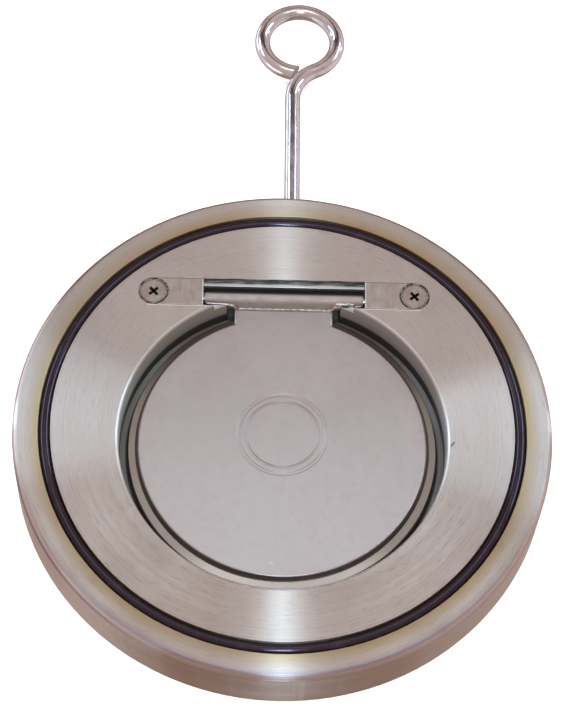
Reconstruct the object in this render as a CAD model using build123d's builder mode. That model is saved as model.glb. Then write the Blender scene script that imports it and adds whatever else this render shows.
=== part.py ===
"""Wafer check valve, DN100, single hinged disc.

Lengths are in millimetres. The valve lies on its upstream face: the origin is the centre of
that face, +Z is the direction of flow, +Y points at the lifting eye and X runs along the hinge
pin. The disc is drawn closed.
"""

from build123d import *
from math import cos, radians, sin
import os

os.makedirs("parts", exist_ok=True)

# Driving dimensions of the body ring
body_radius = 82.0
body_thickness = 19.5
body_edge_chamfer = 1.6
port_radius = 35.0
port_chamfer = 1.0
recess_radius = 49.8
recess_offset = 3.6
recess_depth = 12.3
recess_chamfer = 0.8

# Face O-rings, one in each sealing face
face_ring_radius = 72.3
face_ring_section = 3.5
face_groove_width = 3.8
face_ring_below_face = 0.05

# Disc
disc_radius = 47.0
disc_back_clearance = 0.5
ledge_depth = 8.6
plateau_depth = 6.3
plateau_radius = 44.1
plateau_offset = 3.1
plateau_edge_fillet = 0.7
plateau_foot_radius = 44.9
neck_half_width = 15.3
neck_edge_chamfer = 0.6
mark_radii = [11.2, 13.5]
mark_widths = [0.6, 1.0]
mark_depths = [0.3, 0.15]

# Disc seal ring, in the back of the disc
seal_radius = 38.5
seal_section = 3.0
seal_groove_width = 3.2
seal_stand_out = 0.2

# Hinge: pocket for the retainers, slot for the arm, pin and arm
pocket_y = 46.0
pocket_half_width = 4.8
pocket_end = 45.5
pocket_depth = 3.0
slot_half_length = 25.3
slot_front_y = 43.0
slot_back_y = 49.85
pin_y = 46.5
pin_depth = 5.1
pin_radius = 1.75
pin_half_length = 37.0
pin_groove_gap = 0.02
pin_end_gap = 0.2
pin_running_gap = 0.05
pin_end_chamfer = 0.4
arm_half_length = 24.8
arm_front_y = 43.9
arm_back_y = 49.4
arm_top_depth = 1.7
arm_shoulder_bottom_depth = 8.4
arm_tongue_bottom_depth = 11.0
arm_round = 3.1
arm_lower_round = 2.5
arm_shoulder_front_round = 2.8
arm_front_round = 2.3

# Weld between the neck and the arm, carried on along the front of the shoulders
weld_leg = 0.9
weld_bulge = 0.15
weld_half_length = 15.0
tack_radius = 1.3
tack_depth = 4.9
shoulder_bead_radius = 0.6
shoulder_bead_depth = 4.5
left_bead_end = 18.0
right_bead_end = 22.5

# Retainers and their countersunk screws
retainer_side_gap = 0.15
screw_x = 40.75
screw_head_radius = 4.2
screw_head_below_face = 0.1
screw_shank_radius = 2.4
screw_length = 11.0
screw_thread_gap = 0.05
screw_head_edge = 0.2
screw_edge_chamfer = 0.1
screw_tip_chamfer = 0.4
screw_cone_angle = 90.0
screw_hole_radius = 2.7
tapped_hole_extra = 1.5
cross_arm_length = 3.7
cross_arm_width = 1.0
cross_depth = 1.9
cross_bottom_scale = 0.55
cross_turns = {"left": 42.0, "right": 38.0}

# Lifting eye bolt, bent from round rod
rod_radius = 2.5
eye_bolt_x = 2.5
eye_centre_x = 4.75
eye_centre_y = 149.1
eye_ring_radius = 12.5
eye_merge_angle = -66.0
eye_end_angle = -90.0
eye_cut_x = 3.15
eye_cut_y = 136.5
eye_cut_angle = 59.4
eye_cut_length = 7.0
eye_cut_width = 2.62
eye_thread_depth = 12.0
eye_thread_gap = 0.05
eye_tip_chamfer = 0.5

# Levels worked out from the depths, which are all measured down from the downstream face
top = body_thickness
seat_z = top - recess_depth
disc_back_z = seat_z + disc_back_clearance
ledge_z = top - ledge_depth
plateau_z = top - plateau_depth
pocket_z = top - pocket_depth
pin_z = top - pin_depth
mid_z = body_thickness / 2
face_groove_depth = face_ring_section + face_ring_below_face
seal_crown_z = disc_back_z - seal_stand_out
seal_centre_z = seal_crown_z + seal_section / 2
eye_thread_end_y = body_radius - eye_thread_depth
margin = 1.0


def save(node, label):
    """Label a finished piece and write its STEP file."""
    node.part.label = label
    export_step(node.part, f"parts/{label}.step")


# Valve body: a turned ring with the disc's recess, the port, the grooves and the hinge pocket
upstream_plane = Plane.XY.rotated((180, 0, 0))
with BuildPart() as valve_body:
    with BuildSketch():
        Circle(body_radius)
    extrude(amount=body_thickness)
    chamfer(valve_body.edges().filter_by(GeomType.CIRCLE), length=body_edge_chamfer)

    with BuildSketch(Plane.XY):
        Circle(port_radius)
    extrude(amount=seat_z, mode=Mode.SUBTRACT)
    with BuildSketch(Plane.XY.offset(seat_z)):
        with Locations((0, -recess_offset)):
            Circle(recess_radius)
    extrude(amount=recess_depth, mode=Mode.SUBTRACT)

    recess_rim = valve_body.edges().filter_by(GeomType.CIRCLE).filter_by(
        lambda edge: abs(edge.radius - recess_radius) < margin and edge.center().Z > mid_z
    )
    chamfer(recess_rim, length=recess_chamfer)
    port_rim = valve_body.edges().filter_by(GeomType.CIRCLE).filter_by(
        lambda edge: abs(edge.radius - port_radius) < margin and edge.center().Z < margin
    )
    chamfer(port_rim, length=port_chamfer)

    for face_plane in (Plane.XY.offset(top), upstream_plane):
        with BuildSketch(face_plane):
            Circle(face_ring_radius + face_groove_width / 2)
            Circle(face_ring_radius - face_groove_width / 2, mode=Mode.SUBTRACT)
        extrude(amount=-face_groove_depth, mode=Mode.SUBTRACT)

    # Pocket for the two retainers, round at both ends
    with BuildSketch(Plane.XY.offset(top)):
        with Locations((0, pocket_y)):
            SlotOverall(2 * pocket_end, 2 * pocket_half_width)
    extrude(amount=-pocket_depth, mode=Mode.SUBTRACT)

    # Slot for the hinge arm, open into the recess
    with BuildSketch(Plane.XY.offset(seat_z)):
        with Locations((0, slot_back_y)):
            Rectangle(2 * slot_half_length, slot_back_y - slot_front_y,
                      align=(Align.CENTER, Align.MAX))
    extrude(amount=pocket_z - seat_z, mode=Mode.SUBTRACT)

    # Groove that holds the pin under the retainers
    groove_radius = pin_radius + pin_groove_gap
    groove_half_length = pin_half_length + pin_end_gap
    with BuildSketch(Plane.YZ.offset(-groove_half_length)):
        with Locations((pin_y, pin_z)):
            Circle(groove_radius)
            Rectangle(2 * groove_radius, pocket_z - pin_z, align=(Align.CENTER, Align.MIN))
    extrude(amount=2 * groove_half_length, mode=Mode.SUBTRACT)

    # Tapped holes for the retainer screws
    tapped_depth = screw_length - pocket_depth + tapped_hole_extra
    with BuildSketch(Plane.XY.offset(pocket_z)):
        with Locations((-screw_x, pocket_y), (screw_x, pocket_y)):
            Circle(screw_shank_radius + screw_thread_gap)
    extrude(amount=-tapped_depth, mode=Mode.SUBTRACT)

    # Tapped hole in the rim for the lifting eye bolt
    with BuildSketch(Plane.XZ.offset(-eye_thread_end_y)):
        with Locations((eye_bolt_x, mid_z)):
            Circle(rod_radius + eye_thread_gap)
    extrude(amount=-(eye_thread_depth + margin), mode=Mode.SUBTRACT)
save(valve_body, "valve_body")


# Clapper disc: plate, thin ledge, raised plateau and the neck towards the hinge
with BuildPart() as clapper_disc:
    with BuildSketch(Plane.XY.offset(disc_back_z)):
        with Locations((0, -recess_offset)):
            Circle(disc_radius)
    extrude(amount=ledge_z - disc_back_z)
    with BuildSketch(Plane.XY.offset(ledge_z)):
        with Locations((0, -plateau_offset)):
            Circle(plateau_foot_radius)
    with BuildSketch(Plane.XY.offset(plateau_z)):
        with Locations((0, -plateau_offset)):
            Circle(plateau_radius)
    loft()
    plateau_rim = clapper_disc.edges().filter_by(GeomType.CIRCLE).group_by(Axis.Z)[-1]
    fillet(plateau_rim, radius=plateau_edge_fillet)

    with BuildSketch(Plane.XZ):
        with Locations((0, disc_back_z)):
            Rectangle(2 * neck_half_width, plateau_z - disc_back_z, align=(Align.CENTER, Align.MIN))
        top_corners = vertices().group_by(Axis.Y)[-1]
        chamfer(top_corners, length=neck_edge_chamfer)
    extrude(amount=-arm_front_y)

    for radius, width, depth in zip(mark_radii, mark_widths, mark_depths):
        with BuildSketch(Plane.XY.offset(plateau_z)):
            Circle(radius + width / 2)
            Circle(radius - width / 2, mode=Mode.SUBTRACT)
        extrude(amount=-depth, mode=Mode.SUBTRACT)

    with BuildSketch(Plane.XY.offset(disc_back_z)):
        Circle(seal_radius + seal_groove_width / 2)
        Circle(seal_radius - seal_groove_width / 2, mode=Mode.SUBTRACT)
    extrude(amount=seal_section - seal_stand_out, mode=Mode.SUBTRACT)
save(clapper_disc, "clapper_disc")


# Hinge arm: a bar with round shoulders, and a tongue down to the back of the neck
arm_top_z = top - arm_top_depth
shoulder_bottom_z = top - arm_shoulder_bottom_depth
tongue_bottom_z = top - arm_tongue_bottom_depth
with BuildPart() as hinge_arm:
    with BuildSketch(Plane.YZ.offset(-arm_half_length)):
        with Locations((arm_front_y, shoulder_bottom_z)):
            Rectangle(arm_back_y - arm_front_y, arm_top_z - shoulder_bottom_z,
                      align=(Align.MIN, Align.MIN))
        lower_front = vertices().group_by(Axis.Y)[0].sort_by(Axis.X)[0]
        fillet(lower_front, radius=arm_shoulder_front_round)
        lower_back = vertices().group_by(Axis.Y)[0].sort_by(Axis.X)[-1]
        fillet(lower_back, radius=arm_lower_round)
        upper_back = vertices().group_by(Axis.Y)[-1].sort_by(Axis.X)[-1]
        fillet(upper_back, radius=arm_round)
        upper_front = vertices().group_by(Axis.Y)[-1].sort_by(Axis.X)[0]
        fillet(upper_front, radius=arm_front_round)
    extrude(amount=2 * arm_half_length)

    with BuildSketch(Plane.YZ.offset(-neck_half_width)):
        with Locations((arm_front_y, tongue_bottom_z)):
            Rectangle(arm_back_y - arm_front_y, pin_z - tongue_bottom_z,
                      align=(Align.MIN, Align.MIN))
        tongue_back = vertices().group_by(Axis.Y)[0].sort_by(Axis.X)[-1]
        fillet(tongue_back, radius=arm_lower_round)
    extrude(amount=2 * neck_half_width)

    with BuildSketch(Plane.YZ.offset(-arm_half_length)):
        with Locations((pin_y, pin_z)):
            Circle(pin_radius + pin_running_gap)
    extrude(amount=2 * arm_half_length, mode=Mode.SUBTRACT)
save(hinge_arm, "hinge_arm")


# Hinge weld: a fillet bead along the seam, a tack at each end of it, and a thin bead from each
# tack along the front of the shoulder
with BuildPart() as hinge_weld:
    with BuildSketch(Plane.YZ.offset(-weld_half_length)):
        with BuildLine():
            bead_top = (arm_front_y, plateau_z + weld_leg)
            bead_toe = (arm_front_y - weld_leg, plateau_z)
            Polyline(bead_toe, (arm_front_y, plateau_z), bead_top)
            SagittaArc(bead_top, bead_toe, weld_bulge)
        make_face()
    extrude(amount=2 * weld_half_length)
    with Locations(
        (-neck_half_width, arm_front_y, top - tack_depth),
        (neck_half_width, arm_front_y, top - tack_depth),
    ):
        Sphere(tack_radius)
    for side, bead_end in ((-1, left_bead_end), (1, right_bead_end)):
        with BuildSketch(Plane.YZ.offset(side * neck_half_width)):
            with Locations((arm_front_y, top - shoulder_bead_depth)):
                Circle(shoulder_bead_radius)
        extrude(amount=side * (bead_end - neck_half_width))
    with BuildSketch(Plane.XY.offset(disc_back_z)):
        Rectangle(2 * neck_half_width, arm_front_y, align=(Align.CENTER, Align.MIN))
    extrude(amount=plateau_z - disc_back_z, mode=Mode.SUBTRACT)
    with BuildSketch(Plane.XZ.offset(-arm_front_y)):
        with Locations((0, tongue_bottom_z)):
            Rectangle(2 * arm_half_length, arm_top_z, align=(Align.CENTER, Align.MIN))
    extrude(amount=-arm_round, mode=Mode.SUBTRACT)
save(hinge_weld, "hinge_weld")


# Hinge pin
with BuildPart() as hinge_pin:
    with BuildSketch(Plane.YZ.offset(-pin_half_length)):
        with Locations((pin_y, pin_z)):
            Circle(pin_radius)
    extrude(amount=2 * pin_half_length)
    chamfer(hinge_pin.edges().filter_by(GeomType.CIRCLE), length=pin_end_chamfer)
save(hinge_pin, "hinge_pin")


def pin_retainer(side):
    """A flush plate over one end of the pin: square at the slot, round at the outer end."""
    half_width = pocket_half_width - retainer_side_gap
    end_centre = pocket_end - pocket_half_width
    with BuildPart() as retainer:
        with BuildSketch(Plane.XY.offset(pocket_z)):
            with Locations((side * end_centre, pocket_y)):
                Circle(half_width)
            with Locations((side * (slot_half_length + end_centre) / 2, pocket_y)):
                Rectangle(end_centre - slot_half_length, 2 * half_width)
        extrude(amount=pocket_depth)
        head_seat_radius = screw_head_radius + screw_head_below_face + screw_head_edge
        with Locations(Location((side * screw_x, pocket_y, top))):
            CounterSinkHole(screw_hole_radius, head_seat_radius, pocket_depth, screw_cone_angle)
    return retainer


def retainer_screw(side, turn):
    """A countersunk screw with a cross recess."""
    head_z = top - screw_head_below_face
    cone_z = head_z - screw_head_edge
    cone_height = screw_head_radius - screw_shank_radius
    tip_z = head_z - screw_length
    with BuildPart() as screw:
        with BuildSketch(Plane.XZ.offset(-pocket_y)):
            with BuildLine():
                Polyline(
                    (side * screw_x, head_z),
                    (side * screw_x + screw_head_radius - screw_edge_chamfer, head_z),
                    (side * screw_x + screw_head_radius, head_z - screw_edge_chamfer),
                    (side * screw_x + screw_head_radius, cone_z),
                    (side * screw_x + screw_shank_radius, cone_z - cone_height),
                    (side * screw_x + screw_shank_radius, tip_z + screw_tip_chamfer),
                    (side * screw_x + screw_shank_radius - screw_tip_chamfer, tip_z),
                    (side * screw_x, tip_z),
                    close=True,
                )
            make_face()
        revolve(axis=Axis((side * screw_x, pocket_y, 0), (0, 0, 1)))
        for level, scale_down in ((head_z, 1.0), (head_z - cross_depth, cross_bottom_scale)):
            with BuildSketch(Plane.XY.offset(level)):
                with Locations((side * screw_x, pocket_y)):
                    arm = cross_arm_length * scale_down
                    width = cross_arm_width * scale_down
                    Rectangle(arm, width, rotation=turn)
                    Rectangle(width, arm, rotation=turn)
        loft(mode=Mode.SUBTRACT)
    return screw


for side_name, side in (("left", -1), ("right", 1)):
    save(pin_retainer(side), f"{side_name}_pin_retainer")
    save(retainer_screw(side, cross_turns[side_name]), f"{side_name}_retainer_screw")


def o_ring(radius, section, centre_z):
    """A round-section ring, lying flat."""
    with BuildPart() as ring:
        with BuildSketch(Plane.XZ):
            with Locations((radius, centre_z)):
                Circle(section / 2)
        revolve(axis=Axis.Z)
    return ring


ring_centre_depth = face_ring_below_face + face_ring_section / 2
save(o_ring(face_ring_radius, face_ring_section, top - ring_centre_depth),
     "downstream_face_o_ring")
save(o_ring(face_ring_radius, face_ring_section, ring_centre_depth), "upstream_face_o_ring")
save(o_ring(seal_radius, seal_section, seal_centre_z), "disc_seal_o_ring")


# Lifting eye bolt: straight shank, a wide bend to the right, then the ring. The ring ends in a
# slanted cut that faces the bend.
def on_ring(angle):
    """A point on the ring's centre line, seen along Z."""
    return (eye_centre_x + eye_ring_radius * cos(radians(angle)),
            eye_centre_y + eye_ring_radius * sin(radians(angle)))


merge_x, merge_y = on_ring(eye_merge_angle)
bend_turn = -eye_merge_angle
bend_radius = (merge_x - eye_bolt_x) / (1 - cos(radians(bend_turn)))
bend_start_y = merge_y - bend_radius * sin(radians(bend_turn))
ring_sweep = 360 - (eye_merge_angle - eye_end_angle)
with BuildPart() as lifting_eye_bolt:
    with BuildLine(Plane.XY.offset(mid_z)) as ring_path:
        CenterArc((eye_centre_x, eye_centre_y), eye_ring_radius, eye_merge_angle, ring_sweep)
    with BuildSketch(ring_path.line ^ 0):
        Circle(rod_radius)
    sweep(path=ring_path.line)
    cut_plane = Plane(
        origin=(eye_cut_x, eye_cut_y, mid_z),
        x_dir=(sin(radians(eye_cut_angle)), -cos(radians(eye_cut_angle)), 0),
        z_dir=(0, 0, 1),
    )
    with BuildSketch(cut_plane.offset(-body_thickness / 2)):
        Rectangle(eye_cut_width, eye_cut_length, align=(Align.MIN, Align.CENTER))
    extrude(amount=body_thickness, mode=Mode.SUBTRACT)

    with BuildLine(Plane.XY.offset(mid_z)) as shank_path:
        Line((eye_bolt_x, eye_thread_end_y), (eye_bolt_x, bend_start_y))
        CenterArc((eye_bolt_x + bend_radius, bend_start_y), bend_radius, 180, -bend_turn)
    with BuildSketch(Plane(origin=(eye_bolt_x, eye_thread_end_y, mid_z), z_dir=(0, 1, 0))):
        Circle(rod_radius)
    sweep(path=shank_path.wire())
    tip = lifting_eye_bolt.edges().filter_by(GeomType.CIRCLE).sort_by(Axis.Y)[0]
    chamfer(tip, length=eye_tip_chamfer)
save(lifting_eye_bolt, "lifting_eye_bolt")
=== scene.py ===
"""Looks of the wafer check valve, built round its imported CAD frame.

Everything is in metres in the CAD's frame: the valve lies on its upstream face at z = 0, +Y points
at the lifting eye and X runs along the hinge pin. Surfaces and the weld work in millimetres,
because machining marks are easier to size that way.
"""

import math

import bmesh
import bpy
from mathutils import Matrix, Vector, noise


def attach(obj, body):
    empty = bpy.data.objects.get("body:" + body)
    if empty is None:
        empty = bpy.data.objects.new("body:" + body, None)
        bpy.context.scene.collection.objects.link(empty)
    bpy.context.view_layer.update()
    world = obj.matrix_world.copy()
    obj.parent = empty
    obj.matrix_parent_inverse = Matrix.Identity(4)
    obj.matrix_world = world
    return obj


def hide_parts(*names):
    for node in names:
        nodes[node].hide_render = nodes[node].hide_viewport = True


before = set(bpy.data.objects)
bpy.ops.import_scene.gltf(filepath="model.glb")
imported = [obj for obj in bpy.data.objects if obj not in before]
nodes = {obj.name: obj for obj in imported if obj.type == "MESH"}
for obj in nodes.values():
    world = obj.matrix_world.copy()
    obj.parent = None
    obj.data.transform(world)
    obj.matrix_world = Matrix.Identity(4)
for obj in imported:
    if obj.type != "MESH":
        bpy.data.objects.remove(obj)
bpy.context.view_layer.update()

MM = 0.001

# Sizes of the CAD that the surfaces and the weld follow, in millimetres
BODY_RADIUS = 82.0
FACE_Z = 19.5
GROOVE_OUTER_RADIUS = 74.2
RECESS_OFFSET = 3.6
RECESS_RADIUS = 49.8
RECESS_CHAMFER = 0.8
RECESS_EDGE = RECESS_RADIUS + RECESS_CHAMFER
SEAT_Z = 7.2
SLOT_HALF_LENGTH = 25.3
SLOT_FRONT_Y = 43.0
SLOT_BACK_Y = 49.85
POCKET_Y = 46.0
POCKET_HALF_WIDTH = 4.8
POCKET_NEAR_Y = POCKET_Y - POCKET_HALF_WIDTH
POCKET_FAR_Y = POCKET_Y + POCKET_HALF_WIDTH
POCKET_END = 45.5
POCKET_Z = 16.5
DISC_RADIUS = 47.0
LEDGE_Z = 10.9
PLATEAU_Z = 13.2
PLATEAU_RADIUS = 44.1
PLATEAU_OFFSET = 3.1
NECK_HALF_WIDTH = 15.3
ARM_FRONT_Y = 43.9
ARM_TOP_Z = 17.8
SCREW_X = 40.75
SCREW_HEAD_RADIUS = 4.2

# A small nick in the downstream face, on the right
NICK_X = 51.36
NICK_Y = -5.4

# The weld's drops: how far apart they stand, and the size of the voxels that join them
DROP_STEP = 0.3
WELD_VOXEL = 0.13

# The floor's half size in metres, and how far it lies below the valve, in millimetres
FLOOR_HALF_SIZE = 4.0
FLOOR_GAP = 0.05

# Directions of straight mill marks, and how far a pattern is drawn out along them
ALONG_X = (1.0, 0.0, 0.0)
ALONG_Y = (0.0, 1.0, 0.0)
MARK_SQUEEZE = 0.06

# Turns a tangent by a quarter, so that the highlight spreads across the machining marks
QUARTER_TURN = 0.25

# Numbers of the Mix node's sockets: factor, first value, second value and result
MIX_SOCKETS = {"RGBA": (0, 6, 7, 2), "VECTOR": (0, 4, 5, 1)}

# Socket names of the shader's optional settings
SOCKET_NAMES = {
    "anisotropic": "Anisotropic",
    "anisotropic_rotation": "Anisotropic Rotation",
    "tangent": "Tangent",
    "specular_ior_level": "Specular IOR Level",
    "specular_tint": "Specular Tint",
}


def rgb(r, g, b):
    return (r, g, b, 1.0)


# Near white, painted on edges where a highlight falls
PAINTED_HIGHLIGHT = rgb(0.95, 0.94, 0.93)


# ---------------------------------------------------------------------------------------------
# Node helpers
# ---------------------------------------------------------------------------------------------
class Nodes:
    """A node tree, built with short calls."""

    def __init__(self, tree):
        self.tree = tree
        self.tree.nodes.clear()

    def put(self, socket, value):
        if isinstance(value, bpy.types.NodeSocket):
            self.tree.links.new(value, socket)
        else:
            socket.default_value = value

    def add(self, kind, values=None, **settings):
        made = self.tree.nodes.new("ShaderNode" + kind)
        for key, value in settings.items():
            setattr(made, key, value)
        for key, value in (values or {}).items():
            self.put(made.inputs[key], value)
        return made

    def math(self, operation, a, b=0.0, c=0.0):
        return self.add("Math", {0: a, 1: b, 2: c}, operation=operation).outputs[0]

    def times(self, first, *others):
        """The product of two or more values."""
        product = first
        for value in others:
            product = self.math("MULTIPLY", product, value)
        return product

    def plus(self, base, *shares):
        """The base value, with each (value, factor) pair multiplied and added."""
        for value, factor in shares:
            base = self.math("MULTIPLY_ADD", value, factor, base)
        return base

    def split(self, vector):
        made = self.add("SeparateXYZ", {"Vector": vector})
        return made.outputs[0], made.outputs[1], made.outputs[2]

    def combine(self, x, y, z):
        return self.add("CombineXYZ", {0: x, 1: y, 2: z}).outputs[0]

    def vector_math(self, operation, a, b=(0.0, 0.0, 0.0), scale=1.0):
        made = self.add("VectorMath", {0: a, 1: b}, operation=operation)
        if operation == "SCALE":
            made.inputs["Scale"].default_value = scale
        return made.outputs["Value" if operation == "LENGTH" else "Vector"]

    def span(self, value, low, high, to_low=0.0, to_high=1.0):
        """Value runs smoothly from to_low at low to to_high at high, and stays there outside."""
        made = self.add(
            "MapRange",
            {"Value": value, "From Min": low, "From Max": high, "To Min": to_low, "To Max": to_high},
            interpolation_type="SMOOTHSTEP",
        )
        return made.outputs["Result"]

    def inside(self, value, low, high, soft=0.05):
        """1 between low and high, 0 outside."""
        rise = self.span(value, low - soft, low + soft)
        fall = self.span(value, high - soft, high + soft, 1.0, 0.0)
        return self.times(rise, fall)

    def noise(self, vector, scale, detail=2.0, roughness=0.5, distortion=0.0):
        made = self.add(
            "TexNoise",
            {"Vector": vector, "Scale": scale, "Detail": detail, "Roughness": roughness,
             "Distortion": distortion},
        )
        return made.outputs["Fac"]

    def mix(self, kind, factor, a, b):
        factor_socket, first, second, result = MIX_SOCKETS[kind]
        made = self.add("Mix", {factor_socket: factor, first: a, second: b}, data_type=kind)
        return made.outputs[result]

    def blend(self, factor, a, b):
        """A colour between a and b."""
        return self.mix("RGBA", factor, a, b)

    def blend_vector(self, factor, a, b):
        return self.mix("VECTOR", factor, a, b)

    def ramp(self, value, stops):
        """A colour that runs through the stops, given as (place, colour) pairs."""
        made = self.add("ValToRGB", {0: value})
        elements = made.color_ramp.elements
        while len(elements) < len(stops):
            elements.new(0.5)
        for element, (place, colour) in zip(elements, stops):
            element.position = place
            element.color = colour
        return made.outputs[0]


class Surface(Nodes):
    """A material. Positions and sizes are in millimetres."""

    def __init__(self, name):
        self.material = bpy.data.materials.new(name)
        self.material.use_nodes = True
        super().__init__(self.material.node_tree)
        coordinates = self.add("TexCoord")
        self.position = self.vector_math("SCALE", coordinates.outputs["Object"], scale=1 / MM)
        self.x, self.y, self.z = self.split(self.position)

    def distance_from_axis(self, centre_x=0.0, centre_y=0.0):
        """Distance from a line along Z, and the offsets in x and y."""
        dx = self.math("SUBTRACT", self.x, centre_x)
        dy = self.math("SUBTRACT", self.y, centre_y)
        return self.vector_math("LENGTH", self.combine(dx, dy, 0.0)), dx, dy

    def around(self, dx, dy):
        """The direction of a circle round the line that dx and dy are measured from."""
        return self.combine(self.times(dy, -1.0), dx, 0.0)

    def soft_edges(self, radius):
        """A normal that rounds the sharp edges by radius millimetres."""
        return self.add("Bevel", {"Radius": radius * MM}, samples=6).outputs[0]

    def bump(self, height, depth, normal=None):
        """Relief of depth millimetres."""
        made = self.add("Bump", {"Height": height, "Strength": 1.0, "Distance": depth * MM})
        if normal is not None:
            self.put(made.inputs["Normal"], normal)
        return made.outputs[0]

    def finish(self, colour, roughness, normal, metallic=1.0, **constants):
        shader = self.add("BsdfPrincipled", {"Metallic": metallic, "Base Color": colour,
                                             "Roughness": roughness, "Normal": normal})
        for key, value in constants.items():
            self.put(shader.inputs[SOCKET_NAMES[key]], value)
        self.add("OutputMaterial", {"Surface": shader.outputs[0]})
        return self.material


def smudges(look, low, high):
    """Hand marks and oil film: large soft patches with a little streaking in them."""
    patches = look.noise(look.position, 0.045, detail=4.0, roughness=0.55, distortion=0.6)
    return look.span(patches, 0.35, 0.7, low, high)


def fine_scratches(look, scale, threshold):
    """Short thin scratches in two directions, 1 on a scratch."""
    families = []
    for turn, stretch in ((0.5, 18.0), (2.1, 14.0)):
        mapped = look.add("Mapping", {"Vector": look.position, "Rotation": (0.0, 0.0, turn),
                                      "Scale": (1.0, stretch, 1.0)})
        lines = look.noise(mapped.outputs[0], scale, detail=3.0, roughness=0.6)
        families.append(look.span(lines, threshold, threshold + 0.04))
    return look.math("MAXIMUM", *families)


# ---------------------------------------------------------------------------------------------
# Valve body
# ---------------------------------------------------------------------------------------------
class BodySurface(Surface):
    """The body's material, with the distances, zones and patterns that its looks depend on."""

    def __init__(self, name):
        super().__init__(name)
        self.radius, self.dx, self.dy = self.distance_from_axis()
        from_recess = self.distance_from_axis(0.0, -RECESS_OFFSET)
        self.recess_distance, self.recess_dx, self.recess_dy = from_recess
        self.above_seat = self.span(self.z, SEAT_Z - 0.6, SEAT_Z - 0.4)
        self.in_recess = self.recess_zone()
        self.recess_wall = self.recess_wall_zone()
        self.in_pocket = self.pocket_zone()
        self.in_slot = self.slot_zone()
        marks = self.machining_marks()
        self.feed = self.noise(marks, 2.4, detail=3.0, roughness=0.6)
        self.bands = self.noise(marks, 0.35, detail=2.0)
        self.wobble = self.noise(self.position, 0.9, detail=2.0)
        self.cloud = self.noise(self.position, 0.03, detail=3.0, roughness=0.5)
        self.dashes = self.broken_lines()

    def recess_zone(self):
        """1 in the recess, down to the seat, and on its chamfer."""
        circle = self.span(self.recess_distance, RECESS_EDGE + 0.02, RECESS_EDGE + 0.06, 1.0, 0.0)
        return self.times(circle, self.above_seat)

    def recess_wall_zone(self):
        """1 on the recess wall, below its chamfer."""
        below_chamfer = self.span(self.z, FACE_Z - 0.6, FACE_Z - 0.45, 1.0, 0.0)
        at_wall = self.span(self.recess_distance, RECESS_RADIUS - 0.12, RECESS_RADIUS - 0.06)
        return self.times(self.in_recess, below_chamfer, at_wall)

    def pocket_zone(self):
        """1 in the pocket that holds the retainers, and in the slot under it."""
        floor_or_slot = self.math("MAXIMUM", self.span(self.z, POCKET_Z - 0.12, POCKET_Z - 0.05),
                                  self.span(self.y, SLOT_FRONT_Y - 0.08, SLOT_FRONT_Y - 0.03))
        return self.times(
            self.inside(self.y, POCKET_NEAR_Y, POCKET_FAR_Y),
            self.inside(self.x, -POCKET_END, POCKET_END),
            self.span(self.z, FACE_Z - 0.08, FACE_Z - 0.04, 1.0, 0.0),
            self.above_seat,
            floor_or_slot,
        )

    def slot_zone(self):
        """1 in the slot that the hinge arm fills."""
        return self.times(
            self.inside(self.x, -SLOT_HALF_LENGTH - 0.1, SLOT_HALF_LENGTH + 0.1),
            self.inside(self.y, SLOT_FRONT_Y - 0.1, SLOT_BACK_Y + 0.1),
            self.above_seat,
            self.span(self.z, POCKET_Z - 0.15, POCKET_Z - 0.05, 1.0, 0.0),
        )

    def machining_marks(self):
        """A place that changes only across the marks. Its third number takes each zone's noise
        from elsewhere."""
        marks = self.combine(self.radius, self.z, 0.0)
        marks = self.blend_vector(self.in_recess, marks, self.combine(self.recess_distance, self.z, 7.0))
        return self.blend_vector(self.in_pocket, marks, self.combine(self.y, self.z, 13.0))

    def broken_lines(self):
        """1 on thin lines that follow the tool and are interrupted along their length."""
        turn = self.math("ARCTAN2", self.dy, self.dx)
        place = self.combine(self.times(self.radius, 3.2), self.times(turn, 14.0), 0.0)
        return self.span(self.noise(place, 1.0, detail=2.0, roughness=0.6), 0.55, 0.67)


def machining_direction(look):
    """The way the tool ran: round the valve's axis, round the recess's own or along X."""
    direction = look.around(look.dx, look.dy)
    direction = look.blend_vector(look.in_recess, direction, look.around(look.recess_dx, look.recess_dy))
    direction = look.blend_vector(look.in_pocket, direction, ALONG_X)
    return look.vector_math("NORMALIZE", direction)


def body_relief(look):
    """Feed marks and wider bands, a slight wobble and a few scratches."""
    scratches = fine_scratches(look, 0.16, 0.69)
    relief = look.plus(look.feed, (look.bands, 0.7), (look.wobble, 0.12), (scratches, -0.35))
    return look.bump(relief, 0.006, look.soft_edges(0.22))


def turned_steel(look):
    """Warm grey in soft patches, with darker feed marks. The broken lines show on the face."""
    colour = look.blend(look.span(look.cloud, 0.35, 0.65), rgb(0.575, 0.515, 0.465), rgb(0.61, 0.555, 0.51))
    colour = look.blend(look.span(look.feed, 0.42, 0.62, 0.0, 0.25), colour, rgb(0.44, 0.39, 0.355))
    on_face = look.span(look.z, FACE_Z - 1.2, FACE_Z - 0.6, 0.08, 0.26)
    return look.blend(look.times(look.dashes, on_face), colour, rgb(0.28, 0.245, 0.22))


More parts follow.
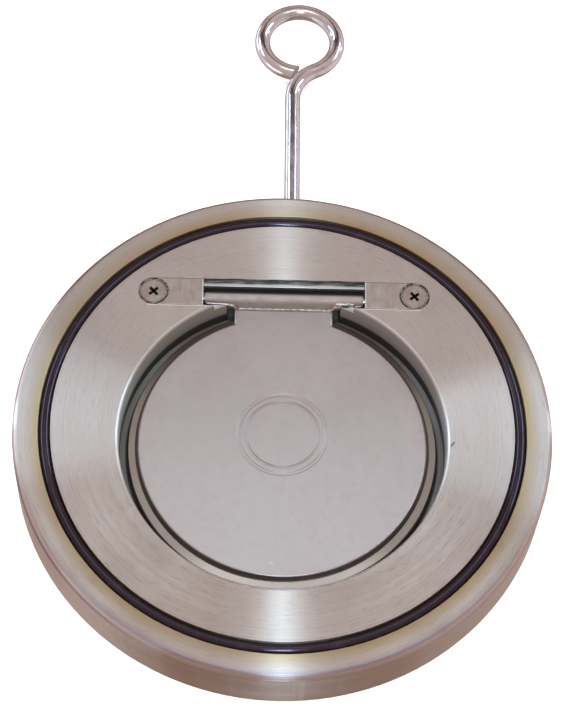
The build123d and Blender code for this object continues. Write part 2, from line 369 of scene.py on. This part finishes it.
def heat_tints_and_rim_shade(look, colour):
    """Straw outside the groove, blue on the rim's chamfer away from the eye, and a purple line of
    painted shade at the chamfer's foot, strongest on the left."""
    straw = look.times(
        look.span(look.radius, GROOVE_OUTER_RADIUS, GROOVE_OUTER_RADIUS + 4.6, 1.5, 0.0),
        look.span(look.radius, GROOVE_OUTER_RADIUS - 0.3, GROOVE_OUTER_RADIUS),
        look.span(look.cloud, 0.3, 0.7, 0.38, 0.62),
    )
    blue = look.times(
        look.inside(look.radius, BODY_RADIUS - 2.2, BODY_RADIUS - 0.9, 0.35),
        look.span(look.dy, -0.9 * BODY_RADIUS, -0.4 * BODY_RADIUS, 1.0, 0.1),
        look.span(look.z, FACE_Z - 1.8, FACE_Z - 1.0),
        0.55,
    )
    # Painted shade: a purple line darkens the outer part of the rim's chamfer, most on the left
    purple_shade = look.times(
        look.span(look.radius, BODY_RADIUS - 0.75, BODY_RADIUS - 0.45),
        look.span(look.z, FACE_Z - 2.0, FACE_Z - 1.75),
        look.span(look.dx, -0.85 * BODY_RADIUS, -0.3 * BODY_RADIUS, 0.8, 0.3),
    )
    colour = look.blend(straw, colour, rgb(0.49, 0.37, 0.19))
    colour = look.blend(blue, colour, rgb(0.40, 0.37, 0.52))
    return look.blend(purple_shade, colour, rgb(0.27, 0.17, 0.22))


def recess_film_and_shade(look, colour):
    """A grey film on the recess wall and in the seat's outer corner, with painted shade that makes
    them nearly black beside the disc's edge, most of all towards the hinge."""
    film = look.blend(look.span(look.x, -RECESS_RADIUS, RECESS_RADIUS), rgb(0.33, 0.345, 0.30),
                      rgb(0.35, 0.345, 0.35))
    seat_corner = look.times(
        look.span(look.recess_distance, DISC_RADIUS - 1.2, DISC_RADIUS - 0.8),
        look.span(look.z, SEAT_Z + 0.1, SEAT_Z + 0.2, 1.0, 0.0),
        look.in_recess,
    )
    filmed = look.math("MAXIMUM", look.recess_wall, seat_corner)
    colour = look.blend(look.times(filmed, 0.8), colour, film)
    beside_disc = look.times(
        look.recess_wall,
        look.span(look.z, LEDGE_Z - 0.2, LEDGE_Z + 1.3, 1.0, 0.0),
        look.span(look.recess_dy, -0.3 * RECESS_RADIUS, 0.5 * RECESS_RADIUS, 0.5, 0.95),
    )
    up_to_disc = look.span(look.recess_distance, DISC_RADIUS + 0.6, DISC_RADIUS + 1.4, 0.95, 0.0)
    # Painted shade: nearly black on the wall just above the disc's edge and in the seat's corner
    painted_shade = look.math("MAXIMUM", beside_disc, look.times(seat_corner, up_to_disc))
    return look.blend(painted_shade, colour, rgb(0.05, 0.042, 0.04))


def recess_chamfer(look, colour):
    """A chamfer painted near white as a highlight, with a line of painted shade round its outer edge on the
    side away from the hinge.
    """
    # Painted highlight: the recess chamfer is coloured near white
    chamfer_highlight = look.times(look.in_recess, look.span(look.z, FACE_Z - 0.5, FACE_Z - 0.38), 0.85)
    # Painted shade: a dark line along the chamfer's outer edge, away from the hinge
    shade_line = look.times(
        look.inside(look.recess_distance, RECESS_EDGE - 0.12, RECESS_EDGE + 0.1),
        look.span(look.recess_dy, -0.94 * RECESS_RADIUS, -0.8 * RECESS_RADIUS, 0.75, 0.0),
        look.span(look.wobble, 0.4, 0.55, 0.4, 1.0),
    )
    colour = look.blend(chamfer_highlight, colour, PAINTED_HIGHLIGHT)
    return look.blend(shade_line, colour, rgb(0.05, 0.045, 0.04))


def face_nick(look, colour):
    """A small slanted nick beside the recess, on the right."""
    _, dx, dy = look.distance_from_axis(NICK_X, NICK_Y)
    # It leans to the right as it goes up, and it is longer than it is wide
    across = look.times(look.plus(dx, (dy, -0.6)), 2.2)
    along = look.times(dy, 0.75)
    distance = look.vector_math("LENGTH", look.combine(across, along, 0.0))
    nick = look.times(
        look.span(distance, 0.5, 0.95, 0.8, 0.0),
        look.span(look.wobble, 0.35, 0.5),
        look.span(look.z, FACE_Z - 0.2, FACE_Z - 0.1),
    )
    return look.blend(nick, colour, rgb(0.07, 0.055, 0.05))


def pocket_tone_and_shade(look, colour):
    """The pocket is duller than the face; its far wall is painted dark in streaks and the slot painted
    nearly black, as shade.
    """
    streaks = look.noise(look.vector_math("MULTIPLY", look.position, (0.12, 1.0, 1.0)), 1.3, detail=3.0)
    # Painted shade on the pocket's far wall, broken up by streaks
    far_wall_shade = look.times(
        look.span(look.y, POCKET_FAR_Y - 0.12, POCKET_FAR_Y - 0.06),
        look.span(look.y, POCKET_FAR_Y + 0.06, POCKET_FAR_Y + 0.18, 1.0, 0.0),
        look.inside(look.x, -SLOT_HALF_LENGTH, SLOT_HALF_LENGTH),
        look.above_seat,
        look.span(streaks, 0.42, 0.62, 0.97, 0.5),
    )
    colour = look.blend(look.times(look.in_pocket, 0.2), colour, rgb(0.33, 0.28, 0.25))
    colour = look.blend(far_wall_shade, colour, rgb(0.06, 0.048, 0.045))
    # Painted shade: the slot is nearly black
    return look.blend(look.times(look.in_slot, 0.9), colour, rgb(0.03, 0.026, 0.024))


def pocket_edge_highlight(look, colour):
    """The pocket's near edge is painted bright beside the retainers, as a highlight."""
    # Painted highlight along the pocket's near edge
    pocket_edge_glint = look.times(
        look.inside(look.y, POCKET_NEAR_Y - 0.38, POCKET_NEAR_Y + 0.05),
        look.inside(look.math("ABSOLUTE", look.x), SLOT_HALF_LENGTH - 1.0, POCKET_END - 3.0, 0.4),
        look.span(look.z, FACE_Z - 0.5, FACE_Z - 0.2),
        0.85,
    )
    return look.blend(pocket_edge_glint, colour, PAINTED_HIGHLIGHT)


def body_roughness(look):
    """Oil film over the bands. The rim's chamfer is smoother, the recess and the slot rougher."""
    film = look.math("ADD", smudges(look, 0.0, 0.05), look.span(look.bands, 0.3, 0.7, 0.29, 0.34))
    rim_chamfer = look.times(look.span(look.radius, BODY_RADIUS - 1.3, BODY_RADIUS - 1.0),
                             look.span(look.z, FACE_Z - 1.7, FACE_Z - 1.3))
    return look.plus(film, (rim_chamfer, -0.16), (look.dashes, 0.05), (look.in_recess, 0.06),
                     (look.in_slot, 0.25))


def turned_body():
    """Stainless steel turned on a lathe. The marks run round the valve's axis on the faces, the
    rim and the grooves, round the recess's own axis inside it, and along X in the milled pocket."""
    look = BodySurface("turned_stainless")
    colour = turned_steel(look)
    for layer in (heat_tints_and_rim_shade, recess_film_and_shade, recess_chamfer, face_nick, pocket_tone_and_shade, pocket_edge_highlight):
        colour = layer(look, colour)
    metallic = look.plus(1.0, (look.recess_wall, -0.62))
    return look.finish(colour, body_roughness(look), body_relief(look), metallic, anisotropic=1.0,
                       anisotropic_rotation=QUARTER_TURN, tangent=machining_direction(look))


# ---------------------------------------------------------------------------------------------
# Disc, arm and retainers
# ---------------------------------------------------------------------------------------------
class DiscSurface(Surface):
    """The disc's material, with the zones and patterns that its looks depend on."""

    def __init__(self, name):
        super().__init__(name)
        self.distance, _, self.dy = self.distance_from_axis(0.0, -PLATEAU_OFFSET)
        self.ledge = self.times(self.span(self.distance, PLATEAU_RADIUS + 0.5, PLATEAU_RADIUS + 0.9),
                                self.inside(self.z, LEDGE_Z - 0.3, LEDGE_Z + 0.3))
        self.neck_edge_highlight = self.neck_edge_highlight_zone()
        self.grain = self.noise(self.position, 3.4, detail=3.0, roughness=0.7)
        self.cloud = self.noise(self.position, 0.04, detail=3.0, roughness=0.5)

    def neck_edge_highlight_zone(self):
        """1 on the long top edges of the neck, where a highlight is painted."""
        off_centre = self.math("ABSOLUTE", self.x)
        return self.times(
            self.span(off_centre, NECK_HALF_WIDTH - 0.62, NECK_HALF_WIDTH - 0.5),
            self.span(self.y, ARM_FRONT_Y - 5.9, ARM_FRONT_Y - 4.9),
            self.span(self.z, PLATEAU_Z - 0.65, PLATEAU_Z - 0.55),
        )


def blasted_steel(look):
    """An even warm grey, with small darker blotches and grain."""
    blotches = look.noise(look.position, 0.35, detail=3.0, roughness=0.6)
    colour = look.blend(look.span(look.cloud, 0.36, 0.64), rgb(0.495, 0.455, 0.435), rgb(0.54, 0.50, 0.485))
    colour = look.blend(look.span(blotches, 0.46, 0.66, 0.0, 0.25), colour, rgb(0.44, 0.395, 0.38))
    return look.blend(look.span(look.grain, 0.48, 0.64, 0.0, 0.3), colour, rgb(0.42, 0.38, 0.37))


def plateau_foot_shade(look, colour):
    """A dark line of painted shade at the foot of the plateau, on the side away from the hinge."""
    # Painted shade at the plateau's foot
    shade_line = look.times(
        look.inside(look.distance, PLATEAU_RADIUS - 0.05, PLATEAU_RADIUS + 0.75, 0.2),
        look.span(look.dy, -0.75 * PLATEAU_RADIUS, 0.1 * PLATEAU_RADIUS, 0.45, 0.0),
        look.span(look.y, ARM_FRONT_Y - 4.0, ARM_FRONT_Y - 3.0, 1.0, 0.0),
    )
    return look.blend(shade_line, colour, rgb(0.17, 0.14, 0.16))


def ledge_tint_and_light(look, colour):
    """The ledge is tinted brown, painted lighter as a highlight on the side away from the hinge, and
    painted nearly black as shade towards the hinge.
    """
    # Brown tint, painted lighter where the highlight falls on the side away from the hinge
    tint_and_highlight = look.blend(look.span(look.dy, -0.97 * PLATEAU_RADIUS, -0.7 * PLATEAU_RADIUS),
                       rgb(0.46, 0.395, 0.33), rgb(0.24, 0.19, 0.15))
    colour = look.blend(look.times(look.ledge, 0.85), colour, tint_and_highlight)
    # Painted shade: nearly black towards the hinge
    hinge_shade = look.span(look.dy, 0.2 * PLATEAU_RADIUS, 0.8 * PLATEAU_RADIUS, 0.0, 0.9)
    return look.blend(look.times(look.ledge, hinge_shade), colour, rgb(0.06, 0.05, 0.048))


def neck_marks(look, colour):
    """A dark line along the toe of the weld, and a highlight painted on the neck's top edges."""
    toe = look.times(
        look.inside(look.y, ARM_FRONT_Y - 0.85, ARM_FRONT_Y - 0.5, 0.1),
        look.inside(look.x, -NECK_HALF_WIDTH, NECK_HALF_WIDTH),
        0.6,
    )
    colour = look.blend(toe, colour, rgb(0.10, 0.085, 0.09))
    # Painted highlight on the neck's top edges
    return look.blend(look.times(look.neck_edge_highlight, 0.9), colour, PAINTED_HIGHLIGHT)


def blasted_disc():
    """Finely blasted stainless steel with a few light scratches."""
    look = DiscSurface("blasted_stainless")
    colour = blasted_steel(look)
    for layer in (plateau_foot_shade, ledge_tint_and_light, neck_marks):
        colour = layer(look, colour)
    pits = look.noise(look.position, 1.1, detail=3.0, roughness=0.6)
    scratches = fine_scratches(look, 0.12, 0.70)
    normal = look.bump(look.plus(look.grain, (pits, 0.7), (scratches, -0.2)), 0.009, look.soft_edges(0.3))
    rough = look.plus(look.span(look.cloud, 0.3, 0.7, 0.35, 0.41), (scratches, -0.1), (look.ledge, -0.06),
                      (look.neck_edge_highlight, 0.3))
    return look.finish(colour, rough, normal, look.plus(1.0, (look.neck_edge_highlight, -0.6)))


def arm_shade(look, colour):
    """Painted shade: the arm is black from the pocket's middle line towards the eye, and low down."""
    # Painted shade on the arm's far half and its lower part
    far_half = look.span(look.y, POCKET_Y - 0.1, POCKET_Y + 1.1, 0.0, 0.96)
    low_down = look.span(look.z, ARM_TOP_Z - 5.6, ARM_TOP_Z - 4.2, 0.85, 0.0)
    return look.blend(look.math("MAXIMUM", far_half, low_down), colour, rgb(0.025, 0.021, 0.02))


def retainer_highlight_and_dirt(look, colour):
    """The retainer's edge beside the slot is painted bright as a highlight, and dirt sits round the screw's
    head.
    """
    off_centre = look.math("ABSOLUTE", look.x)
    # Painted highlight on the retainer's edge beside the slot
    slot_edge_highlight = look.times(look.span(off_centre, SLOT_HALF_LENGTH + 0.25, SLOT_HALF_LENGTH + 0.4, 0.9, 0.0),
                      look.span(look.z, FACE_Z - 0.4, FACE_Z - 0.2))
    from_screw = look.combine(look.math("SUBTRACT", off_centre, SCREW_X),
                              look.math("SUBTRACT", look.y, POCKET_Y), 0.0)
    patches = look.noise(look.position, 0.9, detail=2.0)
    dirt = look.times(
        look.inside(look.vector_math("LENGTH", from_screw), SCREW_HEAD_RADIUS, POCKET_HALF_WIDTH, 0.06),
        look.span(patches, 0.42, 0.52, 0.35, 0.93),
    )
    colour = look.blend(slot_edge_highlight, colour, rgb(0.93, 0.91, 0.90))
    return look.blend(dirt, colour, rgb(0.05, 0.04, 0.035))


def milled(name, direction, light, dark, roughness, anisotropic, last_layer):
    """Steel with straight mill marks in one direction, and a last layer of colour: painted shade on the
    arm, a painted highlight and dirt on the retainers.
    """
    look = Surface(name)
    squeeze = [MARK_SQUEEZE if part else 1.0 for part in direction]
    lines = look.noise(look.vector_math("MULTIPLY", look.position, squeeze), 3.2, detail=3.0, roughness=0.6)
    spots = look.noise(look.position, 0.35, detail=3.0)
    relief = look.plus(lines, (spots, 0.5), (fine_scratches(look, 0.2, 0.68), -0.3))
    colour = last_layer(look, look.blend(look.span(lines, 0.35, 0.68), light, dark))
    rough = look.span(spots, 0.3, 0.7, roughness, roughness + 0.1)
    normal = look.bump(relief, 0.006, look.soft_edges(0.25))
    return look.finish(colour, rough, normal, anisotropic=anisotropic,
                       anisotropic_rotation=QUARTER_TURN, tangent=look.combine(*direction))


# ---------------------------------------------------------------------------------------------
# Screws, pin, weld, O-rings and rod
# ---------------------------------------------------------------------------------------------
def screw_steel(name, centre_x):
    """A screw head with turning rings round its own axis, painted shade in the cross recess and a
    dark ring round the rim."""
    look = Surface(name)
    radius, dx, dy = look.distance_from_axis(centre_x, POCKET_Y)
    rings = look.noise(look.combine(radius, look.z, 0.0), 4.5, detail=2.0)
    spots = look.noise(look.position, 1.2, detail=3.0)
    normal = look.bump(look.plus(rings, (spots, 0.5)), 0.01, look.soft_edges(0.18))
    # Painted shade deep in the cross recess
    deep = look.span(look.z, FACE_Z - 0.7, FACE_Z - 0.15, 1.0, 0.0)
    rim = look.inside(radius, SCREW_HEAD_RADIUS - 0.38, SCREW_HEAD_RADIUS - 0.22, 0.06)
    recess_shade_and_rim = look.math("MAXIMUM", deep, rim)
    colour = look.blend(look.span(spots, 0.4, 0.6), rgb(0.55, 0.49, 0.45), rgb(0.45, 0.40, 0.37))
    colour = look.blend(look.times(recess_shade_and_rim, 0.93), colour, rgb(0.03, 0.024, 0.02))
    rough = look.plus(look.span(spots, 0.3, 0.7, 0.27, 0.4), (recess_shade_and_rim, 0.3))
    return look.finish(colour, rough, normal, anisotropic=0.5, anisotropic_rotation=QUARTER_TURN,
                       tangent=look.vector_math("NORMALIZE", look.around(dx, dy)))


def ground_pin():
    """Ground steel, with rings round the pin and a thin brown film."""
    look = Surface("ground_pin_steel")
    rings = look.noise(look.vector_math("MULTIPLY", look.position, (1.0, 0.15, 0.15)), 4.0, detail=3.0)
    film = look.noise(look.position, 0.25, detail=3.0)
    colour = look.blend(look.span(film, 0.4, 0.65), rgb(0.55, 0.53, 0.51), rgb(0.38, 0.33, 0.29))
    return look.finish(colour, look.span(film, 0.3, 0.7, 0.18, 0.34), look.bump(rings, 0.003))


def weld_metal():
    """Bright weld metal with darker patches and specks of oxide."""
    look = Surface("weld_metal")
    lumps = look.noise(look.position, 0.8, detail=3.0)
    fine = look.noise(look.position, 3.5, detail=3.0, roughness=0.6)
    normal = look.bump(look.plus(fine, (lumps, 0.6)), 0.03)
    colour = look.blend(look.span(lumps, 0.42, 0.6), rgb(0.76, 0.73, 0.71), rgb(0.50, 0.46, 0.44))
    colour = look.blend(look.span(fine, 0.58, 0.68, 0.0, 0.6), colour, rgb(0.20, 0.18, 0.19))
    return look.finish(colour, look.span(fine, 0.3, 0.7, 0.34, 0.5), normal)


def face_rubber():
    """Black nitrile rubber with a thin oil film and a little dust."""
    look = Surface("black_nitrile")
    skin = look.noise(look.position, 1.6, detail=4.0, roughness=0.6)
    dust = look.noise(look.position, 0.22, detail=5.0, roughness=0.65)
    colour = look.blend(look.span(dust, 0.5, 0.75), rgb(0.018, 0.011, 0.015), rgb(0.036, 0.025, 0.029))
    rough = look.span(dust, 0.35, 0.7, 0.07, 0.15)
    return look.finish(colour, rough, look.bump(skin, 0.012), metallic=0.0, specular_ior_level=0.5,
                       specular_tint=rgb(0.85, 0.75, 1.0))


def plated_rod():
    """Bright plating over bent round rod, with shallow dents from bending and stains."""
    look = Surface("bright_plated_rod")
    dents = look.noise(look.position, 0.12, detail=1.0, roughness=0.3)
    skin = look.noise(look.position, 1.4, detail=4.0, roughness=0.6)
    tint_and_highlight = look.noise(look.position, 0.1, detail=5.0, roughness=0.65, distortion=0.5)
    normal = look.bump(look.plus(dents, (skin, 0.05)), 0.12)
    colour = look.blend(look.span(tint_and_highlight, 0.42, 0.68), rgb(0.78, 0.80, 0.88), rgb(0.64, 0.62, 0.67))
    rough = look.math("ADD", look.span(tint_and_highlight, 0.35, 0.75, 0.11, 0.18),
                      look.span(skin, 0.5, 0.75, 0.0, 0.06))
    return look.finish(colour, rough, normal)


# ---------------------------------------------------------------------------------------------
# Which node has which finish
# ---------------------------------------------------------------------------------------------
def dress(name, material):
    """Give a CAD node its finish."""
    for slot in nodes[name].material_slots:
        slot.material = material


dress("valve_body", turned_body())
dress("clapper_disc", blasted_disc())
dress("hinge_arm", milled("milled_arm", ALONG_X, rgb(0.56, 0.51, 0.48), rgb(0.50, 0.45, 0.42),
                          roughness=0.6, anisotropic=0.2, last_layer=arm_shade))
retainer_steel = milled("milled_retainer", ALONG_Y, rgb(0.59, 0.545, 0.505), rgb(0.52, 0.47, 0.43),
                        roughness=0.3, anisotropic=0.55, last_layer=retainer_highlight_and_dirt)
rubber = face_rubber()
weld_finish = weld_metal()
dress("hinge_pin", ground_pin())
dress("lifting_eye_bolt", plated_rod())
for side, centre in (("left", -SCREW_X), ("right", SCREW_X)):
    dress(f"{side}_pin_retainer", retainer_steel)
    dress(f"{side}_retainer_screw", screw_steel(f"{side}_screw_steel", centre))
for ring in ("downstream_face_o_ring", "upstream_face_o_ring", "disc_seal_o_ring"):
    dress(ring, rubber)
dress("hinge_weld", weld_finish)


# ---------------------------------------------------------------------------------------------
# Hinge weld
# ---------------------------------------------------------------------------------------------
def bead_path(stops, ripple=0.16):
    """Drops of weld metal along a path, as places and radii in millimetres. Each stop is a place
    and the bead's radius there."""
    drops = []
    for (start, start_radius), (end, end_radius) in zip(stops[:-1], stops[1:]):
        start, end = Vector(start), Vector(end)
        count = max(1, round((end - start).length / DROP_STEP))
        for index in range(count):
            part = index / count
            place = start.lerp(end, part)
            radius = start_radius + (end_radius - start_radius) * part
            swell = noise.noise(place * 1.1) + 0.45 * noise.noise(place * 3.7)
            drops.append((place, radius * (1.0 + ripple * swell)))
    last, last_radius = stops[-1]
    drops.append((Vector(last), last_radius))
    return drops


def weld_drops():
    """The weld as it runs: a small even fillet along the neck, a curl where it climbs each
    corner, then beads along the front of the shoulders, rippled on the right."""
    seam_y = ARM_FRONT_Y - 0.14
    seam_z = PLATEAU_Z + 0.12
    seam = [((-14.2, seam_y, seam_z), 0.36), ((12.6, seam_y, seam_z), 0.42)]
    right_corner = [
        ((12.0, seam_y, seam_z), 0.45),
        ((13.6, seam_y - 0.25, seam_z + 0.15), 0.6),
        ((15.0, seam_y - 0.25, seam_z + 0.8), 0.75),
        ((16.0, ARM_FRONT_Y - 0.1, seam_z + 1.8), 0.6),
    ]
    left_corner = [
        ((-14.2, seam_y, seam_z), 0.42),
        ((-15.2, seam_y - 0.1, seam_z + 0.7), 0.62),
        ((-15.9, ARM_FRONT_Y, seam_z + 1.6), 0.62),
        ((-18.2, ARM_FRONT_Y, seam_z + 2.2), 0.55),
        ((-24.2, ARM_FRONT_Y + 0.1, seam_z + 2.5), 0.45),
    ]
    right_lower = [
        ((15.9, ARM_FRONT_Y, 15.2), 0.74),
        ((18.5, ARM_FRONT_Y + 0.1, 15.7), 0.66),
        ((21.0, ARM_FRONT_Y, 15.3), 0.7),
        ((24.0, ARM_FRONT_Y + 0.1, 15.7), 0.5),
    ]
    right_upper = [
        ((16.4, ARM_FRONT_Y + 0.4, 16.2), 0.6),
        ((18.6, ARM_FRONT_Y + 0.3, 16.5), 0.66),
        ((22.0, ARM_FRONT_Y + 0.45, 16.2), 0.5),
    ]
    drops = bead_path(seam) + bead_path(right_corner) + bead_path(left_corner)
    return drops + bead_path(right_lower, ripple=0.5) + bead_path(right_upper, ripple=0.5)


def weld_beads():
    """The drops, merged into one lumpy bead that takes the place of the plain CAD weld."""
    built = bmesh.new()
    for place, radius in weld_drops():
        bmesh.ops.create_icosphere(built, subdivisions=2, radius=radius * MM,
                                   matrix=Matrix.Translation(place * MM))
    mesh = bpy.data.meshes.new("hinge_weld_beads")
    built.to_mesh(mesh)
    built.free()
    for face in mesh.polygons:
        face.use_smooth = True
    mesh.materials.append(weld_finish)
    piece = bpy.data.objects.new("hinge_weld_beads", mesh)
    bpy.context.scene.collection.objects.link(piece)
    join = piece.modifiers.new("join", "REMESH")
    join.mode = "VOXEL"
    join.voxel_size = WELD_VOXEL * MM
    join.use_smooth_shade = True
    soften = piece.modifiers.new("soften", "SMOOTH")
    soften.iterations = 4
    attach(piece, "clapper")
    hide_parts("hinge_weld")


weld_beads()


# ---------------------------------------------------------------------------------------------
# Floor, room, light and camera
# ---------------------------------------------------------------------------------------------
def pale_floor():
    """White studio paper."""
    look = Surface("studio_floor")
    patches = look.noise(look.position, 0.01, detail=3.0)
    fibres = look.noise(look.position, 0.6, detail=4.0)
    colour = look.blend(look.span(patches, 0.3, 0.7), rgb(0.83, 0.825, 0.815), rgb(0.86, 0.855, 0.85))
    return look.finish(colour, 0.8, look.bump(fibres, 0.02), metallic=0.0)


def make_floor():
    """A floor a hair below the valve, so that it never coincides with the upstream face. The
    steel doesn't reflect it."""
    mesh = bpy.data.meshes.new("floor")
    corners = [(x * FLOOR_HALF_SIZE, y * FLOOR_HALF_SIZE, -FLOOR_GAP * MM)
               for x, y in ((-1, -1), (1, -1), (1, 1), (-1, 1))]
    mesh.from_pydata(corners, [], [(0, 1, 2, 3)])
    floor = bpy.data.objects.new("floor", mesh)
    bpy.context.scene.collection.objects.link(floor)
    mesh.materials.append(pale_floor())
    floor.visible_glossy = False
    return floor


floor = make_floor()


def make_world():
    """The room that the steel reflects: brown near the ground and warm grey above, with pale walls
    at the sides, a bright window low at the left and a dark beam across the ceiling."""
    world = bpy.data.worlds.new("studio")
    bpy.context.scene.world = world
    world.use_nodes = True
    room = Nodes(world.node_tree)
    x, y, z = room.split(room.add("TexCoord").outputs["Generated"])

    # Height runs from 0, straight down, to 1, straight up
    height = room.math("MULTIPLY_ADD", z, 0.5, 0.5)
    colour = room.ramp(height, [
        (0.0, rgb(0.35, 0.23, 0.19)),
        (0.45, rgb(0.40, 0.27, 0.22)),
        (0.55, rgb(0.50, 0.37, 0.31)),
        (0.9, rgb(0.575, 0.425, 0.355)),
        (1.0, rgb(0.69, 0.535, 0.475)),
    ])
    walls = room.times(room.span(room.math("ABSOLUTE", x), 0.48, 0.78),
                       room.span(z, 0.12, 0.42, 1.0, 0.0))
    colour = room.blend(walls, colour, rgb(0.76, 0.63, 0.61))

    # The window lights the rim's edge
    window = room.times(room.inside(x, -0.955, -0.575, 0.025), room.inside(z, -0.245, 0.105, 0.025))
    colour = room.blend(window, colour, rgb(1.6, 1.6, 1.7))

    # The round rod reflects the beam, and the flat faces look past it
    beam = room.times(
        room.inside(x, -0.55, 0.37, 0.05),
        room.inside(y, 0.5525, 0.6725, 0.0125),
        room.math("GREATER_THAN", z, 0.5),
    )
    strength = room.plus(1.0, (beam, -0.95))
    background = room.add("Background", {"Color": colour, "Strength": strength})
    room.add("OutputWorld", {"Surface": background.outputs[0]})


make_world()

WHITE = (1.0, 1.0, 1.0)
FLASH = (0.62, 0.83, 1.0)
SKY = (0.52, 0.77, 1.0)
LAMP_TARGET = (0.0, 0.0, 0.01)


def area_light(name, place, size, power, colour):
    """A soft panel that faces the valve. Its size is a width and a height."""
    data = bpy.data.lights.new(name, "AREA")
    data.shape = "RECTANGLE"
    data.size, data.size_y = size
    data.energy = power
    data.color = colour
    lamp = bpy.data.objects.new(name, data)
    bpy.context.scene.collection.objects.link(lamp)
    lamp.location = place
    direction = Vector(LAMP_TARGET) - Vector(place)
    lamp.rotation_mode = "QUATERNION"
    lamp.rotation_quaternion = direction.to_track_quat("-Z", "Y")
    return lamp


area_light("overhead_lamp", (0.038, -0.25, 1.5), (0.10, 0.42), 0.85, FLASH)
area_light("flash_lamp", (0.034, -0.75, 1.15), (0.045, 0.045), 4.0, FLASH)
area_light("left_panel", (-1.0, 0.62, 0.8), (0.75, 0.16), 3.8, SKY)
area_light("right_panel", (1.0, 0.53, 0.8), (0.75, 0.16), 4.6, SKY)
area_light("left_window", (-1.34, 0.68, 0.15), (0.16, 0.5), 0.8, FLASH)
area_light("right_window", (1.34, 0.68, 0.15), (0.16, 0.6), 0.6, FLASH)
area_light("near_softbox", (0.013, 0.13, 0.40), (0.26, 0.08), 0.15, FLASH)


def light_floor():
    """A wash of light that falls on the floor only."""
    wash = area_light("floor_wash", (-0.1, -0.5, 1.5), (1.6, 1.6), 60.0, WHITE)
    washed = bpy.data.collections.new("washed")
    washed.objects.link(floor)
    wash.light_linking.receiver_collection = washed
    wash.visible_glossy = False


light_floor()


def make_camera():
    """The camera looks at the centre of the downstream face from a steep angle, a little to the
    left, and is rolled slightly clockwise. It is aimed below the frame's middle, so its lens is
    shifted up."""
    elevation = math.radians(63.05)
    azimuth = math.radians(-3.1)
    roll = math.radians(3.97)
    distance = 0.7
    target = Vector((0.0, 0.0, FACE_Z * MM))
    away = Vector((
        math.cos(elevation) * math.sin(azimuth),
        -math.cos(elevation) * math.cos(azimuth),
        math.sin(elevation),
    ))
    right = (-away).cross(Vector((0.0, 0.0, 1.0))).normalized()
    up = right.cross(-away)
    turned_right = math.cos(roll) * right + math.sin(roll) * up
    turned_up = math.cos(roll) * up - math.sin(roll) * right
    data = bpy.data.cameras.new("camera")
    data.sensor_width = 36.0
    data.lens = 116.8
    data.shift_x = 0.0005
    data.shift_y = 0.0967
    data.clip_start = 0.01
    data.clip_end = 20.0
    camera = bpy.data.objects.new("camera", data)
    bpy.context.scene.collection.objects.link(camera)
    rotation = Matrix((turned_right, turned_up, away)).transposed()
    camera.matrix_world = Matrix.Translation(target + away * distance) @ rotation.to_4x4()
    bpy.context.scene.camera = camera


make_camera()
bpy.context.scene.view_settings.view_transform = "Standard"
